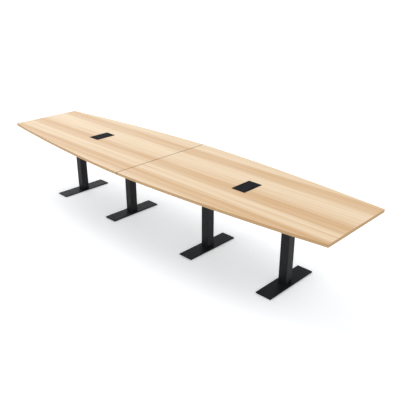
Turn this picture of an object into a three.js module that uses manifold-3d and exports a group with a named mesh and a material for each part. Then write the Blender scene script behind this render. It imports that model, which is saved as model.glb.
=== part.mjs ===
// A boat-shaped conference table on four steel T-legs, with two flip-lid power boxes set into its top.
// Millimetres, +Z up. The origin is on the floor under the middle of the top, +X runs along the table
// and -Y faces the front. The top is two halves that meet at a seam over the origin.
import * as THREE from "three";
import { mergeVertices } from "three/addons/utils/BufferGeometryUtils.js";
import Module from "manifold-3d";

// Top
const tableHeight = 750; // floor to the top's face
const topThickness = 25;
const topLength = 4230; // over both halves
const topWidthMiddle = 1130; // across the seam
const topWidthEnd = 800; // across each end
const sideBow = 1.66; // exponent of the side's curve: 1 is a straight taper, 2 a parabola
const topCornerRadius = 8;
const edgeBandThickness = 2;
const seamBandThickness = 2;
const seamGap = 2; // open joint between the two halves

// Joining plates under the seam
const joiningPlateLength = 160; // along X, over both halves
const joiningPlateWidth = 60;
const joiningPlateThickness = 4;
const joiningPlateEdge = 185; // from the end of the seam to the middle of an outer plate
const joiningScrewInset = 18; // hole centres from the plate's edges

// Legs
const legSpacing = 908; // between the two legs under one half
const pairDistance = 1022; // from the middle of the leg pattern to the middle of each pair
const patternShift = 38; // the leg pattern stands this far towards +X from the seam
const footLength = 597; // along Y
const footWidth = 152;
const footThickness = 10;
const footCornerRadius = 3;
const columnSide = 83;
const columnWall = 3;
const columnCornerRadius = 4;
const columnEndPlateThickness = 8;
const bracketLength = 460; // along Y
const bracketWidth = 140;
const bracketThickness = 5;
const bracketCornerRadius = 10;
const bracketScrewInset = 18; // hole centres from the bracket's edges
const screwHoleDiameter = 6;
const plateCornerRadius = 4; // joining plates

// Foot bolts, countersunk from below
const boltDiameter = 10;
const boltHeadDiameter = 20;
const boltReach = 6; // past the column's end plate
const boltSocketDiameter = 6;
const boltSocketDepth = 3;

// Levelling glides, adjusted from above through the foot plate
const glidePadDiameter = 30;
const glidePadThickness = 2.5;
const glidePadChamfer = 1;
const glideStudDiameter = 8;
const glideStudRecess = 0.5; // stud's end below the foot plate's upper face
const glideInset = 28; // from the foot plate's edges

// Power boxes, two alike, long side across the table
const bezelLength = 234; // along Y
const bezelWidth = 142;
const bezelRim = 13; // seen round the lid
const bezelThickness = 2.5; // stands on the top's face
const bezelCornerRadius = 4;
const sleeveWall = 3.5;
const cutoutClearance = 1; // between the sleeve and the hole in the top
const lidThickness = 5;
const lidClearance = 0.8;
const lidNotchLength = 52; // finger notch in the lid's front edge
const lidNotchDepth = 9;
const ledgeWidth = 3; // the lid closes on this
const ledgeThickness = 3;
const hingePinDiameter = 2.4;
const hingePinSeat = 2.5; // length in each side of the sleeve
const backBoxDepth = 45; // below the top's underside
const backBoxFloor = 2;
const backBoxLedge = 2; // carries the socket panel
const socketDepth = 45; // top's face to the socket panel
const socketPanelThickness = 3;
const insertWidth = 40; // along X, all inserts
const outletLength = 44;
const dataLength = 62;
const insertGap = 14;
const insertLip = 2; // overlaps the panel round each insert
const insertLipThickness = 1.5;
const outletBodyDepth = 17;
const dataBodyDepth = 15;
const glandBoreDiameter = 9;
const glandBodyDiameter = 15;
const glandFlangeDiameter = 22;
const glandFlangeThickness = 5;
const glandNoseLength = 12;

// Socket openings
const bladeSlotLength = 8;
const bladeSlotWidth = 2.4;
const bladeSlotPitch = 12.7;
const earthHoleDiameter = 5.6;
const earthHoleOffset = 11.5; // from the line of the blade slots
const bladeLineOffset = 4; // from the outlet's middle
const socketHoleDepth = 12;
const networkPortLength = 12;
const networkPortWidth = 8.5;
const usbPortLength = 12.5;
const usbPortWidth = 5.2;
const portPitchAlong = 30;
const portPitchAcross = 17;

// Fits and facets
const fitGap = 0.3; // glue lines and the play round pins, studs and inserts
const roundSides = 16;
const sideSteps = 24; // chords along one side of a half
const cornerSteps = 4;

const wasm = await Module();
wasm.setup();

const material = (color, roughness, metalness) =>
  new THREE.MeshStandardMaterial({ color, roughness, metalness });
const laminate = material(0xe9cfae, 0.5, 0);
const edging = material(0xc09c74, 0.5, 0);
const blackSteel = material(0x2c2d2f, 0.5, 0.3);
const zincSteel = material(0xa9abad, 0.4, 0.9);
const blackPlastic = material(0x2a2c2e, 0.45, 0);
const greyPlastic = material(0x45474a, 0.5, 0);
const nylon = material(0x1d1d1e, 0.6, 0);

// A closed geometry as a solid that can be joined and cut.
function toSolid(geometry) {
  const bare = geometry.clone();
  bare.deleteAttribute("normal");
  bare.deleteAttribute("uv");
  const merged = mergeVertices(bare);
  return new wasm.Manifold(
    new wasm.Mesh({
      numProp: 3,
      vertProperties: merged.getAttribute("position").array,
      triVerts: new Uint32Array(merged.index.array),
    }),
  );
}

// A solid back as a geometry with flat-shaded faces.
function toGeometry(solid) {
  const mesh = solid.getMesh();
  const indexed = new THREE.BufferGeometry();
  indexed.setAttribute("position", new THREE.BufferAttribute(mesh.vertProperties, 3));
  indexed.setIndex(new THREE.BufferAttribute(mesh.triVerts, 1));
  const geometry = indexed.toNonIndexed();
  geometry.computeVertexNormals();
  return geometry;
}

function join(...geometries) {
  const solids = geometries.map(toSolid);
  return toGeometry(solids.reduce((whole, piece) => whole.add(piece)));
}

function cut(geometry, ...tools) {
  const solids = tools.map(toSolid);
  return toGeometry(solids.reduce((whole, tool) => whole.subtract(tool), toSolid(geometry)));
}

function named(name, geometry, meshMaterial) {
  const mesh = new THREE.Mesh(geometry, meshMaterial);
  mesh.name = name;
  return mesh;
}

const point = (x, y) => new THREE.Vector2(x, y);

// Points on an arc, both ends included, angles in radians.
function arcPoints(x, y, radius, from, to, steps) {
  const points = [];
  for (let i = 0; i <= steps; i++) {
    const angle = from + ((to - from) * i) / steps;
    points.push(point(x + radius * Math.cos(angle), y + radius * Math.sin(angle)));
  }
  return points;
}

const circlePoints = (x, y, diameter) =>
  arcPoints(x, y, diameter / 2, 0, 2 * Math.PI, roundSides).slice(1);

function rectanglePoints(sizeX, sizeY, radius, x = 0, y = 0) {
  const points = [];
  const quarter = Math.PI / 2;
  for (const [corner, signX, signY] of [[0, 1, 1], [1, -1, 1], [2, -1, -1], [3, 1, -1]]) {
    const cornerX = x + signX * (sizeX / 2 - radius);
    const cornerY = y + signY * (sizeY / 2 - radius);
    const from = corner * quarter;
    const arc = arcPoints(cornerX, cornerY, radius, from, from + quarter, cornerSteps);
    points.push(...(radius > 0 ? arc : [point(cornerX, cornerY)]));
  }
  return points;
}

// An outline with holes, extruded upwards from a height.
function slab(outline, holes, bottom, thickness) {
  const shape = new THREE.Shape(outline);
  shape.holes = holes.map((points) => new THREE.Path(points));
  const geometry = new THREE.ExtrudeGeometry(shape, { depth: thickness, bevelEnabled: false });
  return geometry.translate(0, 0, bottom);
}

function block(sizeX, sizeY, x, y, bottom, top) {
  const geometry = new THREE.BoxGeometry(sizeX, sizeY, top - bottom);
  return geometry.translate(x, y, (bottom + top) / 2);
}

// A profile of [radius, height] pairs turned about the Z axis.
function turned(profile) {
  const geometry = new THREE.LatheGeometry(
    profile.map(([radius, height]) => point(radius, height)),
    roundSides,
  );
  return geometry.rotateX(Math.PI / 2);
}

const rod = (diameter, bottom, top) =>
  turned([[0, bottom], [diameter / 2, bottom], [diameter / 2, top], [0, top]]);

// The four corners of a rectangle of hole centres.
function cornerHoles(sizeX, sizeY, diameter) {
  const holes = [];
  for (const x of [-sizeX / 2, sizeX / 2])
    for (const y of [-sizeY / 2, sizeY / 2]) holes.push(circlePoints(x, y, diameter));
  return holes;
}

// The top: side curve and outline
const halfLength = topLength / 2;
const topUnderside = tableHeight - topThickness;
const sleeveLength = bezelLength - 2 * bezelRim + 2 * sleeveWall;
const sleeveWidth = bezelWidth - 2 * bezelRim + 2 * sleeveWall;

function halfWidthAt(x) {
  const bow = 1 - (x / halfLength) ** sideBow;
  return topWidthEnd / 2 + ((topWidthMiddle - topWidthEnd) / 2) * bow;
}

// How far the side leans in at x, as an angle from the X axis.
function sideLeanAt(x) {
  const slope = (x / halfLength) ** (sideBow - 1) * sideBow * (topWidthMiddle - topWidthEnd);
  return Math.atan(slope / 2 / halfLength);
}

// The front side, corner and end of the right half, as far as the middle of the end, set in by an inset.
function frontEdge(start, inset) {
  const points = [];
  const endLean = sideLeanAt(halfLength);
  const sideEnd = halfLength - topCornerRadius * (1 - Math.sin(endLean));
  for (let i = 0; i < sideSteps; i++) {
    const x = start + ((sideEnd - start) * i) / sideSteps;
    const lean = i === 0 ? 0 : sideLeanAt(x);
    points.push(point(x - inset * Math.sin(lean), inset * Math.cos(lean) - halfWidthAt(x)));
  }
  const centreX = halfLength - topCornerRadius;
  const centreY = topCornerRadius * Math.cos(endLean) - halfWidthAt(sideEnd);
  const radius = topCornerRadius - inset;
  points.push(...arcPoints(centreX, centreY, radius, endLean - Math.PI / 2, 0, cornerSteps));
  return points;
}

// One half's edge from the seam at the front, round the end, back to the seam. Side is 1 right, -1 left.
function halfEdge(side, start, inset) {
  const front = frontEdge(start, inset);
  const back = front.map((p) => point(p.x, -p.y)).reverse();
  return [...front, ...back].map((p) => point(side * p.x, p.y));
}

const moduleX = (side) => patternShift + side * pairDistance;

function topPanel(side) {
  const start = seamGap / 2 + seamBandThickness + fitGap;
  const outline = halfEdge(side, start, edgeBandThickness + fitGap);
  const cutout = rectanglePoints(
    sleeveWidth + 2 * cutoutClearance,
    sleeveLength + 2 * cutoutClearance,
    0,
    moduleX(side),
  );
  return slab(outline, [cutout], topUnderside, topThickness);
}

function edgeBand(side) {
  const outer = halfEdge(side, seamGap / 2, 0);
  const inner = halfEdge(side, seamGap / 2, edgeBandThickness);
  return slab([...outer, ...inner.reverse()], [], topUnderside, topThickness);
}

function seamBand(side) {
  const length = topWidthMiddle - 2 * edgeBandThickness - 2 * fitGap;
  const x = side * (seamGap / 2 + seamBandThickness / 2);
  return block(seamBandThickness, length, x, 0, topUnderside, tableHeight);
}

function joiningPlate() {
  const holes = cornerHoles(
    joiningPlateLength - 2 * joiningScrewInset,
    joiningPlateWidth - 2 * joiningScrewInset,
    screwHoleDiameter,
  );
  const outline = rectanglePoints(joiningPlateLength, joiningPlateWidth, plateCornerRadius);
  return slab(outline, holes, topUnderside - joiningPlateThickness, joiningPlateThickness);
}

// The legs: heights from the floor up
const footBottom = glidePadThickness;
const footTop = footBottom + footThickness;
const bracketBottom = topUnderside - bracketThickness;
const boltHeadHeight = (boltHeadDiameter - boltDiameter) / 2;
const boltTop = footTop + columnEndPlateThickness + boltReach;

// A countersunk screw's outline, grown by a gap for its hole.
function boltProfile(gap, bottom, top) {
  const head = boltHeadDiameter / 2 + gap;
  const shank = boltDiameter / 2 + gap;
  return [[0, bottom], [head, bottom], [shank, bottom + boltHeadHeight], [shank, top], [0, top]];
}

function footPlate() {
  const glideHoles = cornerHoles(
    footWidth - 2 * glideInset,
    footLength - 2 * glideInset,
    glideStudDiameter + 2 * fitGap,
  );
  const outline = rectanglePoints(footWidth, footLength, footCornerRadius);
  const plate = slab(outline, glideHoles, footBottom, footThickness);
  return cut(plate, turned(boltProfile(fitGap, footBottom, boltTop)));
}

// A square tube with a drilled plate welded inside its lower end.
function column() {
  const inside = columnSide - 2 * columnWall;
  const outline = rectanglePoints(columnSide, columnSide, columnCornerRadius);
  const bore = rectanglePoints(inside, inside, columnCornerRadius - columnWall);
  const tube = slab(outline, [bore], footTop, bracketBottom - footTop);
  const weldOverlap = columnWall / 2;
  const plateSide = inside + 2 * weldOverlap;
  const boltHole = circlePoints(0, 0, boltDiameter + 2 * fitGap);
  const plateOutline = rectanglePoints(plateSide, plateSide, columnCornerRadius - columnWall);
  return join(tube, slab(plateOutline, [boltHole], footTop, columnEndPlateThickness));
}

// A flat plate across the top of the column, screwed up into the top.
function topBracket() {
  const outline = rectanglePoints(bracketWidth, bracketLength, bracketCornerRadius);
  const acrossHoles = bracketWidth - 2 * bracketScrewInset;
  const alongHoles = bracketLength - 2 * bracketScrewInset;
  const outerHoles = cornerHoles(acrossHoles, alongHoles, screwHoleDiameter);
  const innerHoles = cornerHoles(acrossHoles, alongHoles / 2, screwHoleDiameter);
  return slab(outline, [...outerHoles, ...innerHoles], bracketBottom, bracketThickness);
}

function footBolt() {
  const bolt = turned(boltProfile(0, footBottom, boltTop));
  const socketTop = footBottom + boltSocketDepth;
  return cut(bolt, rod(boltSocketDiameter, footBottom - boltSocketDepth, socketTop));
}

function glide() {
  const pad = glidePadDiameter / 2;
  const stud = glideStudDiameter / 2;
  const studTop = footTop - glideStudRecess;
  return turned([
    [0, 0],
    [pad - glidePadChamfer, 0],
    [pad, glidePadChamfer],
    [pad, footBottom],
    [stud, footBottom],
    [stud, studTop],
    [0, studTop],
  ]);
}

function leg(number) {
  const group = new THREE.Group();
  group.add(named(`foot_plate_${number}`, footPlate(), blackSteel));
  group.add(named(`column_${number}`, column(), blackSteel));
  group.add(named(`top_bracket_${number}`, topBracket(), blackSteel));
  group.add(named(`foot_bolt_${number}`, footBolt(), zincSteel));
  for (const [row, signY] of [["front", -1], ["back", 1]])
    for (const [hand, signX] of [["left", -1], ["right", 1]]) {
      const mesh = named(`glide_${number}_${row}_${hand}`, glide(), nylon);
      mesh.position.x = signX * (footWidth / 2 - glideInset);
      mesh.position.y = signY * (footLength / 2 - glideInset);
      group.add(mesh);
    }
  return group;
}

// The power box: heights from the top's face, the hinge on its -X side
const wellLength = bezelLength - 2 * bezelRim;
const wellWidth = bezelWidth - 2 * bezelRim;
const lidTop = bezelThickness;
const lidBottom = lidTop - lidThickness;
const hingeX = lidClearance + lidThickness / 2 - wellWidth / 2;
const hingeZ = lidTop - lidThickness / 2;
const pinBore = hingePinDiameter + 2 * fitGap;
const boxBottom = -topThickness - backBoxDepth;
const panelTop = -socketDepth;
const panelBottom = panelTop - socketPanelThickness;
const outletY = dataLength / 2 + insertGap + outletLength / 2;

// A rod along Y on the hinge line.
function hingeRod(diameter, length) {
  const geometry = rod(diameter, -length / 2, length / 2);
  return geometry.rotateX(Math.PI / 2).translate(hingeX, 0, hingeZ);
}

function bezel() {
  const openX = wellWidth - 2 * ledgeWidth;
  const openY = wellLength - 2 * ledgeWidth;
  const ledgeTop = lidBottom - fitGap;
  const ledgeBottom = ledgeTop - ledgeThickness;
  const rimOutline = rectanglePoints(bezelWidth, bezelLength, bezelCornerRadius);
  const sleeveOutline = rectanglePoints(sleeveWidth, sleeveLength, 0);
  const wellOutline = rectanglePoints(wellWidth, wellLength, 0);
  const ledgeOutline = rectanglePoints(openX, openY, 0);
  const flange = slab(rimOutline, [wellOutline], 0, bezelThickness);
  const sleeve = slab(sleeveOutline, [wellOutline], -topThickness, topThickness);
  const ledge = slab(sleeveOutline, [ledgeOutline], ledgeBottom, ledgeThickness);
  const pinLength = wellLength + 2 * hingePinSeat + 2 * fitGap;
  return cut(join(flange, sleeve, ledge), hingeRod(pinBore, pinLength));
}

// A flat lid whose rear edge is a barrel round the hinge pin.
function lid() {
  const front = wellWidth / 2 - lidClearance;
  const half = lidThickness / 2;
  const length = wellLength - 2 * lidClearance;
  const barrel = arcPoints(hingeX, hingeZ, half, Math.PI / 2, (3 * Math.PI) / 2, roundSides / 2);
  const profile = [...barrel, point(front, lidBottom), point(front, lidTop)];
  const plate = slab(profile, [], -length / 2, length).rotateX(Math.PI / 2);
  const notchBottom = lidBottom - lidThickness;
  const notchTop = lidTop + lidThickness;
  const notch = block(2 * lidNotchDepth, lidNotchLength, front, 0, notchBottom, notchTop);
  return cut(plate, hingeRod(pinBore, 2 * length), notch);
}

const hingePin = () => hingeRod(hingePinDiameter, wellLength + 2 * hingePinSeat);

// The cable gland goes through the back box's +Y wall, below the socket panel.
const glandZ = (panelBottom + boxBottom + backBoxFloor) / 2;
const glandReach = sleeveWall + backBoxLedge + fitGap;

// A piece turned about Z, laid along +Y on the gland's line.
function alongGland(geometry) {
  return geometry.rotateX(-Math.PI / 2).translate(0, 0, glandZ);
}

// An open-topped box under the sleeve, with a step inside for the socket panel.
function backBox() {
  const lowerX = wellWidth - 2 * backBoxLedge;
  const lowerY = wellLength - 2 * backBoxLedge;
  const shell = block(sleeveWidth, sleeveLength, 0, 0, boxBottom, -topThickness);
  const upper = block(wellWidth, wellLength, 0, 0, panelBottom, 0);
  const lower = block(lowerX, lowerY, 0, 0, boxBottom + backBoxFloor, 0);
  const glandHole = rod(glandBodyDiameter + 2 * fitGap, 0, sleeveLength);
  return cut(shell, upper, lower, alongGland(glandHole));
}

function cableGland() {
  const wallFace = sleeveLength / 2;
  const inner = wallFace - glandReach;
  const flangeFace = wallFace + fitGap;
  const flangeEnd = flangeFace + glandFlangeThickness;
  const noseEnd = flangeEnd + glandNoseLength;
  const bore = glandBoreDiameter / 2;
  const body = glandBodyDiameter / 2;
  const flange = glandFlangeDiameter / 2;
  return alongGland(
    turned([
      [bore, inner],
      [body, inner],
      [body, flangeFace],
      [flange, flangeFace],
      [flange, flangeEnd],
      [body, flangeEnd],
      [bore + fitGap, noseEnd],
      [bore, noseEnd],
      [bore, inner],
    ]),
  );
}

function socketPanel() {
  const holeX = insertWidth + 2 * fitGap;
  const holes = [
    rectanglePoints(holeX, dataLength + 2 * fitGap, 0),
    rectanglePoints(holeX, outletLength + 2 * fitGap, 0, 0, outletY),
    rectanglePoints(holeX, outletLength + 2 * fitGap, 0, 0, -outletY),
  ];
  const outline = rectanglePoints(wellWidth - 2 * fitGap, wellLength - 2 * fitGap, 0);
  return slab(outline, holes, panelBottom, socketPanelThickness);
}

// A socket insert: a body through the panel and a lip on it, at a place along Y.
function insert(length, depth, y) {
  const lipTop = panelTop + insertLipThickness;
  const body = block(insertWidth, length, 0, y, panelTop - depth, lipTop);
  const lip = block(insertWidth + 2 * insertLip, length + 2 * insertLip, 0, y, panelTop, lipTop);
  return join(body, lip);
}

const socketHole = (sizeX, sizeY, x, y) =>
  block(sizeX, sizeY, x, y, panelTop - socketHoleDepth, panelTop + socketHoleDepth);

function outlet(y) {
  const bladeX = bladeLineOffset;
  const earthX = bladeX - earthHoleOffset;
  const earth = rod(earthHoleDiameter, panelTop - socketHoleDepth, panelTop + socketHoleDepth);
  return cut(
    insert(outletLength, outletBodyDepth, y),
    socketHole(bladeSlotLength, bladeSlotWidth, bladeX, y - bladeSlotPitch / 2),
    socketHole(bladeSlotLength, bladeSlotWidth, bladeX, y + bladeSlotPitch / 2),
    earth.translate(earthX, y, 0),
  );
}

function dataPorts() {
  const along = portPitchAlong / 2;
  const across = portPitchAcross / 2;
  return cut(
    insert(dataLength, dataBodyDepth, 0),
    socketHole(networkPortWidth, networkPortLength, -across, -along),
    socketHole(networkPortWidth, networkPortLength, -across, along),
    socketHole(usbPortWidth, usbPortLength, across, -along),
    socketHole(usbPortWidth, usbPortLength, across, along),
  );
}

function powerBox(hand) {
  const group = new THREE.Group();
  group.add(named(`power_bezel_${hand}`, bezel(), blackPlastic));
  group.add(named(`power_lid_${hand}`, lid(), blackPlastic));
  group.add(named(`hinge_pin_${hand}`, hingePin(), zincSteel));
  group.add(named(`back_box_${hand}`, backBox(), blackSteel));
  group.add(named(`cable_gland_${hand}`, cableGland(), nylon));
  group.add(named(`socket_panel_${hand}`, socketPanel(), blackPlastic));
  group.add(named(`outlet_front_${hand}`, outlet(-outletY), greyPlastic));
  group.add(named(`outlet_back_${hand}`, outlet(outletY), greyPlastic));
  group.add(named(`data_ports_${hand}`, dataPorts(), greyPlastic));
  return group;
}

// The whole table
const table = new THREE.Group();

for (const [hand, side] of [["left", -1], ["right", 1]]) {
  table.add(named(`top_panel_${hand}`, topPanel(side), laminate));
  table.add(named(`edge_band_${hand}`, edgeBand(side), edging));
  table.add(named(`seam_band_${hand}`, seamBand(side), edging));
  const box = powerBox(hand);
  box.position.set(moduleX(side), 0, tableHeight);
  table.add(box);
}

for (const [place, step] of [["front", -1], ["middle", 0], ["back", 1]]) {
  const mesh = named(`joining_plate_${place}`, joiningPlate(), blackSteel);
  mesh.position.y = step * (topWidthMiddle / 2 - joiningPlateEdge);
  table.add(mesh);
}

let legNumber = 1;
for (const pairSide of [-1, 1])
  for (const legSide of [-1, 1]) {
    const group = leg(legNumber);
    group.position.x = moduleX(pairSide) + (legSide * legSpacing) / 2;
    table.add(group);
    legNumber += 1;
  }

export default table;
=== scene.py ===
"""Finished pieces, floor, light and camera for the CAD frame of a boat-shaped conference table."""

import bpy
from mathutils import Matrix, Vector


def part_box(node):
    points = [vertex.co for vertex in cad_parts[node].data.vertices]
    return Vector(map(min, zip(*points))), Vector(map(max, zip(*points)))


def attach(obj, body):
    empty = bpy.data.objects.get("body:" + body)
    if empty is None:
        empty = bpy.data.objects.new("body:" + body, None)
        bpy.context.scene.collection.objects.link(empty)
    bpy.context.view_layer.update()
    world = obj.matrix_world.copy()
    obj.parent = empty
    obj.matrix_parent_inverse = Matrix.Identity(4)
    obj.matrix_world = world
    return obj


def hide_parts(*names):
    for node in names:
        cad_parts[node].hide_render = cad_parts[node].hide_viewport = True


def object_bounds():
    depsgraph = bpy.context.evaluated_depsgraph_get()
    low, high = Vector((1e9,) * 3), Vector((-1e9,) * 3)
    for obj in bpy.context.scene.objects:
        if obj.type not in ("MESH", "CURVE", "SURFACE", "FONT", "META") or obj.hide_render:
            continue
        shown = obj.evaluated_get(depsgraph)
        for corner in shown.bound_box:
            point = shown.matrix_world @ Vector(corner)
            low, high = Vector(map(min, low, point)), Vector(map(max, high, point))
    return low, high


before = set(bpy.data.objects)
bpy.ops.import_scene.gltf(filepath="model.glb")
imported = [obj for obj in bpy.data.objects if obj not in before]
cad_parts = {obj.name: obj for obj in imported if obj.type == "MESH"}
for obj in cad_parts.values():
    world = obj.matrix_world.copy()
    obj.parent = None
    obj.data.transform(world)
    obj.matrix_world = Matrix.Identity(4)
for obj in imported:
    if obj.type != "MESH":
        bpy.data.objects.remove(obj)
CAD_BOX = [list(corner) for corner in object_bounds()]

import math

import bmesh
import bpy
from bpy.props import FloatProperty, FloatVectorProperty, PointerProperty
from mathutils import Matrix, Vector

bl_info = {
    "name": "Conference table",
    "version": (1, 0, 0),
    "blender": (4, 5, 0),
    "location": "3D View > Sidebar > Table",
    "description": "Pieces, floor, light and camera for a boat-shaped conference table",
    "category": "Object",
}

TABLE = "table"
HANDS = ("left", "right")
ROWS = ("front", "back")
CORNERS = tuple(f"{row}_{hand}" for row in ROWS for hand in HANDS)
SEAM_PLACES = ("front", "middle", "back")
LEGS = (1, 2, 3, 4)

MM = 0.001
SAME_POINT = 1e-6  # closer points are merged
ON_FACE = 0.1 * MM  # a point this near a plane lies on it
FLAT = math.radians(0.04)  # faces that turn less than this are one
SHARP = math.radians(30)  # edges that turn more than this are rounded
SMOOTH = math.radians(32)  # edges that turn less than this are shaded smooth
HEXAGON_SIDE = math.tau / 6
WHITE = (1, 1, 1, 1)


# Settings

class TopSettings(bpy.types.PropertyGroup):
    """Colours and edges of the two-part top."""

    pale: FloatVectorProperty(
        name="Pale streaks", description="Lightest colour of the laminate's figure",
        subtype="COLOR", min=0, max=1, default=(0.843, 0.666, 0.457))
    deep: FloatVectorProperty(
        name="Deep streaks", description="Darkest colour of the laminate's figure",
        subtype="COLOR", min=0, max=1, default=(0.632, 0.388, 0.184))
    edging: FloatVectorProperty(
        name="Edging", description="Colour of the strip round the top",
        subtype="COLOR", min=0, max=1, default=(0.548, 0.354, 0.180))
    # Painted shade: the seam strips take this dark colour, and the laminate and edging beside them are
    # darkened towards it, in place of the shade in the groove between the halves.
    seam: FloatVectorProperty(
        name="Seam", description="Colour of the strips that meet at the seam",
        subtype="COLOR", min=0, max=1, default=(0.23, 0.122, 0.052))
    backing: FloatVectorProperty(
        name="Backing", description="Colour of the plain sheet under the top",
        subtype="COLOR", min=0, max=1, default=(0.46, 0.46, 0.45))
    edge_radius: FloatProperty(
        name="Edge rounding", description="Radius on the edging's outer corners",
        unit="LENGTH", min=0, max=0.0018, default=0.0015)


class LegSettings(bpy.types.PropertyGroup):
    """Finish of the steel pieces."""

    coat: FloatVectorProperty(
        name="Powder coat", description="Colour of the coated steel",
        subtype="COLOR", min=0, max=1, default=(0.0081, 0.0085, 0.0097))
    edge_radius: FloatProperty(
        name="Edge rounding", description="Radius on the plates' cut edges",
        unit="LENGTH", min=0, max=0.002, default=0.0008)
    zinc: FloatVectorProperty(
        name="Zinc plate", description="Colour of the bolts, pins and contacts",
        subtype="COLOR", min=0, max=1, default=(0.56, 0.57, 0.58))


class PowerSettings(bpy.types.PropertyGroup):
    """Finish of the power boxes."""

    shell: FloatVectorProperty(
        name="Frame and lid", description="Colour of the moulded frame and lid",
        subtype="COLOR", min=0, max=1, default=(0.017, 0.0187, 0.0213))
    sockets: FloatVectorProperty(
        name="Sockets", description="Colour of the outlets and port blocks",
        subtype="COLOR", min=0, max=1, default=(0.055, 0.058, 0.062))
    nylon: FloatVectorProperty(
        name="Glides and glands", description="Colour of the nylon pieces",
        subtype="COLOR", min=0, max=1, default=(0.014, 0.014, 0.015))
    edge_radius: FloatProperty(
        name="Edge rounding", description="Radius on the frame's and lid's edges",
        unit="LENGTH", min=0, max=0.001, default=0.0006)


class StageSettings(bpy.types.PropertyGroup):
    """Camera, floor and light."""

    camera: FloatVectorProperty(
        name="Camera", description="Where the camera stands",
        subtype="TRANSLATION", default=(3.7598, -3.3222, 2.5242))
    heading: FloatProperty(
        name="Heading", description="Camera's direction over the floor, from +X",
        subtype="ANGLE", default=math.radians(134.419))
    tilt: FloatProperty(
        name="Tilt", description="How far the camera looks down",
        subtype="ANGLE", default=math.radians(23.999))
    lens: FloatProperty(
        name="Lens", description="Focal length on a 36 mm sensor", unit="CAMERA", default=48.97)
    sky: FloatProperty(
        name="Sky light", description="Even light from all round", min=0, default=0.62)
    left: FloatProperty(
        name="Left light", description="High soft light from beyond the left end", min=0, default=0.96)
    right: FloatProperty(
        name="Right light", description="High soft light from beyond the right end", min=0, default=0.46)
    fill: FloatProperty(
        name="Front light", description="Low soft light on the front", min=0, default=0.50)
    sheen: FloatProperty(
        name="Sheen light", description="Low light behind the left end, for the top's sheen",
        min=0, default=0.27)
    floor_lift: FloatProperty(
        name="Floor lift", description="Glow that takes the open floor to white", min=0, default=0.265)


# Shader nodes

VECTOR = "NodeSocketVector"
VALUE = "NodeSocketFloat"


def node(tree, kind, inputs=(), **settings):
    """A shader node with its settings, its inputs set to values or linked from sockets."""
    made = tree.nodes.new("ShaderNode" + kind)
    for key, value in settings.items():
        setattr(made, key, value)
    for key, value in dict(inputs).items():
        if isinstance(value, bpy.types.NodeSocket):
            tree.links.new(value, made.inputs[key])
        else:
            made.inputs[key].default_value = value
    return made


def math_node(tree, operation, first, second, third=0.0, clamp=False):
    """The result of a Math node."""
    inputs = {0: first, 1: second, 2: third}
    return node(tree, "Math", inputs, operation=operation, use_clamp=clamp).outputs[0]


def centred(tree, value, swing):
    """A value from 0 to 1 spread over a swing, half to each side of 0."""
    return math_node(tree, "MULTIPLY_ADD", value, swing, -swing / 2)


def map_range(tree, value, low, high, start=0.0, end=1.0):
    """A value moved so that start gives low and end gives high."""
    inputs = {"Value": value, "From Min": start, "From Max": end, "To Min": low, "To Max": high}
    return node(tree, "MapRange", inputs).outputs[0]


def ramp(tree, factor, stops):
    """A soft ramp of greys, whose stops are (place, grey) pairs."""
    made = node(tree, "ValToRGB", {"Fac": factor})
    made.color_ramp.interpolation = "EASE"
    elements = made.color_ramp.elements
    for place, _ in stops[1:-1]:
        elements.new(place)
    for element, (_, grey) in zip(elements, stops):
        element.color = (grey, grey, grey, 1)
    return made.outputs["Color"]


def noise(tree, place, cells, detail=2.0, roughness=0.5):
    """Noise with a number of cells to the metre along each axis."""
    scaled = node(tree, "VectorMath", {0: place, 1: cells}, operation="MULTIPLY").outputs[0]
    inputs = {"Vector": scaled, "Scale": 1.0, "Detail": detail, "Roughness": roughness}
    return node(tree, "TexNoise", inputs).outputs["Fac"]


def mix(tree, factor, under, colour):
    """A colour laid over another, or over a socket's colour, by a factor."""
    base = under if isinstance(under, bpy.types.NodeSocket) else (*under, 1)
    made = node(tree, "Mix", {"Factor": factor, "A": base, "B": (*colour, 1)}, data_type="RGBA")
    return made.outputs["Result"]


def scaled_colour(colour, factor):
    """A colour made lighter or darker."""
    return tuple(min(1.0, channel * factor) for channel in colour)


def shades(tree, factor, colour, darkest, palest):
    """A colour that varies between two shares of itself."""
    return mix(tree, factor, scaled_colour(colour, darkest), scaled_colour(colour, palest))


def relief(tree, shader, height, strength, depth):
    """Fine bumps on a shader's surface."""
    bump = node(tree, "Bump", {"Height": height, "Strength": strength, "Distance": depth})
    tree.links.new(bump.outputs[0], shader.inputs["Normal"])


# Shared effects

def new_group(name, inputs, outputs):
    """An empty shader node group and its two ends, with named sockets."""
    tree = bpy.data.node_groups.new(name, "ShaderNodeTree")
    for label, kind in inputs.items():
        tree.interface.new_socket(label, in_out="INPUT", socket_type=kind)
    for label, kind in outputs.items():
        tree.interface.new_socket(label, in_out="OUTPUT", socket_type=kind)
    return tree, tree.nodes.new("NodeGroupInput").outputs, tree.nodes.new("NodeGroupOutput").inputs


# Bands of the figure across the top, from front to back: place and paleness.
BAND_STOPS = (
    (0.00, 0.92), (0.04, 0.68), (0.09, 0.16), (0.12, 0.36), (0.155, 0.04), (0.22, 0.78),
    (0.265, 0.70), (0.295, 0.88), (0.345, 0.42), (0.43, 0.08), (0.485, 0.62), (0.52, 0.74),
    (0.56, 0.84), (0.64, 0.98), (0.68, 0.90), (0.74, 0.36), (0.775, 0.36), (0.815, 0.18),
    (0.88, 0.83), (1.00, 0.77))
BAND_EDGES = (CAD_BOX[0][1], CAD_BOX[1][1])
# Noise cells to the metre along X, Y and Z.
WANDER_CELLS = (0.9, 2.0, 1.0)
STREAK_CELLS = (0.55, 24.0, 24.0)
LINE_CELLS = (1.3, 95.0, 95.0)
VEIN_CELLS = (0.5, 75.0, 75.0)
FIBRE_CELLS = (9.0, 900.0, 900.0)
# How far the bands wander and feather sideways, in metres.
WANDER_SWING = 0.04
FEATHER_SWING = 0.05
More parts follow.
